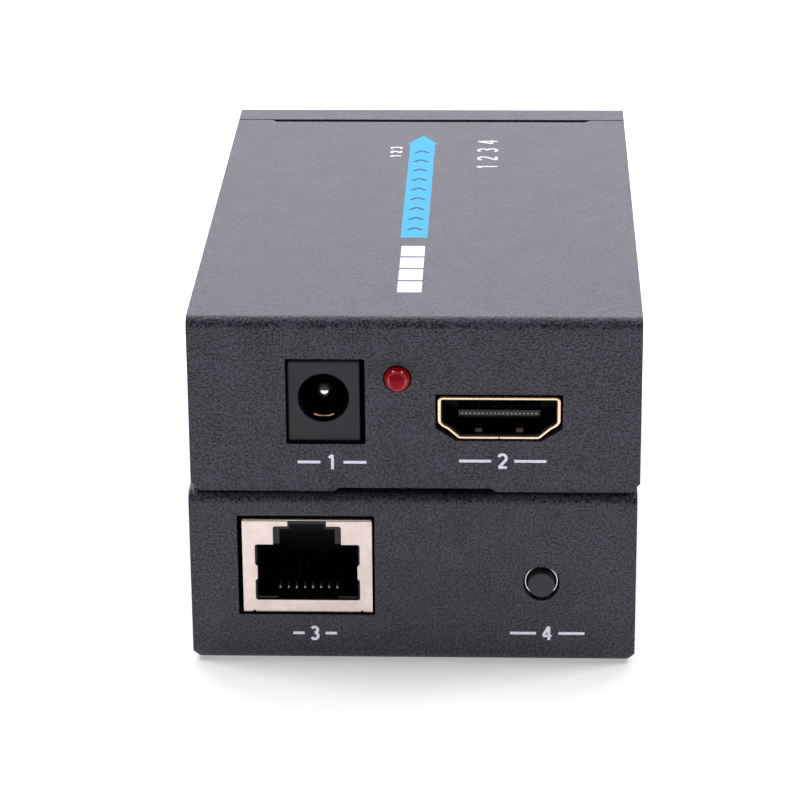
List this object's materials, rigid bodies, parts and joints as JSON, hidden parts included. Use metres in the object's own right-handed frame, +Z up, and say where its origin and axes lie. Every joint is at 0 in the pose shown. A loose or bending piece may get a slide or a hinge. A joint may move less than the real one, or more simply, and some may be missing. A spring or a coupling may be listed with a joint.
{
  "type": "cable extender pair",
  "caption": "Pair of flat folded-steel boxes, one on the other, that send AV signals over a network cable: power jack, indicator, AV socket, network socket and reset button.",
  "frame": {"origin": "centre of the pair's underside, where the lower box rests on the table", "axes": "+Z up; +X to the right and -Y towards a viewer of the upper box's power end, which is also the lower box's network end; +Y along the boxes' length"},
  "size_m": [0.0554, 0.0896, 0.0452],
  "materials": {
    "case_paint": "fine wrinkle powder coat",
    "steel": "zinc plated",
    "dark_steel": "blackened",
    "board_green": "solder resist",
    "black_plastic": "moulded",
    "button_plastic": "moulded",
    "bright_nickel": "polished nickel",
    "satin_nickel": "satin nickel",
    "contact_bronze": "bronze spring",
    "contact_gold": "gold flash",
    "gold_plate": "pale gold plating",
    "tinned_wire": "tinned",
    "red_lens": "tinted epoxy",
    "chip_resin": "moulded resin",
    "can_aluminium": "satin",
    "ceramic": "fired ceramic",
    "ferrite": "sintered"
  },
  "bodies": {
    "receiver": {"receiver_base_tray": "case_paint", "receiver_cover": "case_paint", "receiver_cover_lugs": "steel", "receiver_side_screws": "dark_steel", "receiver_standoffs": "steel", "receiver_circuit_board": "board_green", "receiver_board_screws": "steel", "receiver_power_jack": "black_plastic", "receiver_power_pin": "bright_nickel", "receiver_power_spring": "contact_bronze", "receiver_led_lens": "red_lens", "receiver_led_leads": "tinned_wire", "receiver_av_shell": "gold_plate", "receiver_av_insulator": "black_plastic", "receiver_av_contacts": "contact_gold", "receiver_lan_shield": "satin_nickel", "receiver_lan_housing": "black_plastic", "receiver_lan_contacts": "contact_gold", "receiver_switch_body": "black_plastic", "receiver_switch_plate": "satin_nickel", "receiver_contact_dome": "steel", "receiver_main_chip": "chip_resin", "receiver_network_chip": "chip_resin", "receiver_memory_chip": "chip_resin", "receiver_line_transformer": "chip_resin", "receiver_capacitors": "can_aluminium", "receiver_crystal": "bright_nickel", "receiver_choke": "ferrite", "receiver_small_parts": "ceramic"},
    "receiver_button": {"receiver_reset_button": "button_plastic"},
    "sender": {"sender_base_tray": "case_paint", "sender_cover": "case_paint", "sender_cover_lugs": "steel", "sender_side_screws": "dark_steel", "sender_standoffs": "steel", "sender_circuit_board": "board_green", "sender_board_screws": "steel", "sender_power_jack": "black_plastic", "sender_power_pin": "bright_nickel", "sender_power_spring": "contact_bronze", "sender_led_lens": "red_lens", "sender_led_leads": "tinned_wire", "sender_av_shell": "gold_plate", "sender_av_insulator": "black_plastic", "sender_av_contacts": "contact_gold", "sender_lan_shield": "satin_nickel", "sender_lan_housing": "black_plastic", "sender_lan_contacts": "contact_gold", "sender_switch_body": "black_plastic", "sender_switch_plate": "satin_nickel", "sender_contact_dome": "steel", "sender_main_chip": "chip_resin", "sender_network_chip": "chip_resin", "sender_memory_chip": "chip_resin", "sender_line_transformer": "chip_resin", "sender_capacitors": "can_aluminium", "sender_crystal": "bright_nickel", "sender_choke": "ferrite", "sender_small_parts": "ceramic"},
    "sender_button": {"sender_reset_button": "button_plastic"}
  },
  "joints": [
    {"name": "receiver_reset_press", "type": "slide", "parent": "receiver", "child": "receiver_button", "axis": [0, 1, 0], "range_m": [0, 0.0003], "stiffness_N_per_m": 3300, "springref_m": -0.00018},
    {"name": "sender_lift", "type": "slide", "parent": "receiver", "child": "sender", "axis": [0, 0, 1], "range_m": [0, 0.04]},
    {"name": "sender_reset_press", "type": "slide", "parent": "sender", "child": "sender_button", "axis": [0, -1, 0], "range_m": [0, 0.0003], "stiffness_N_per_m": 3300, "springref_m": -0.00018}
  ]
}
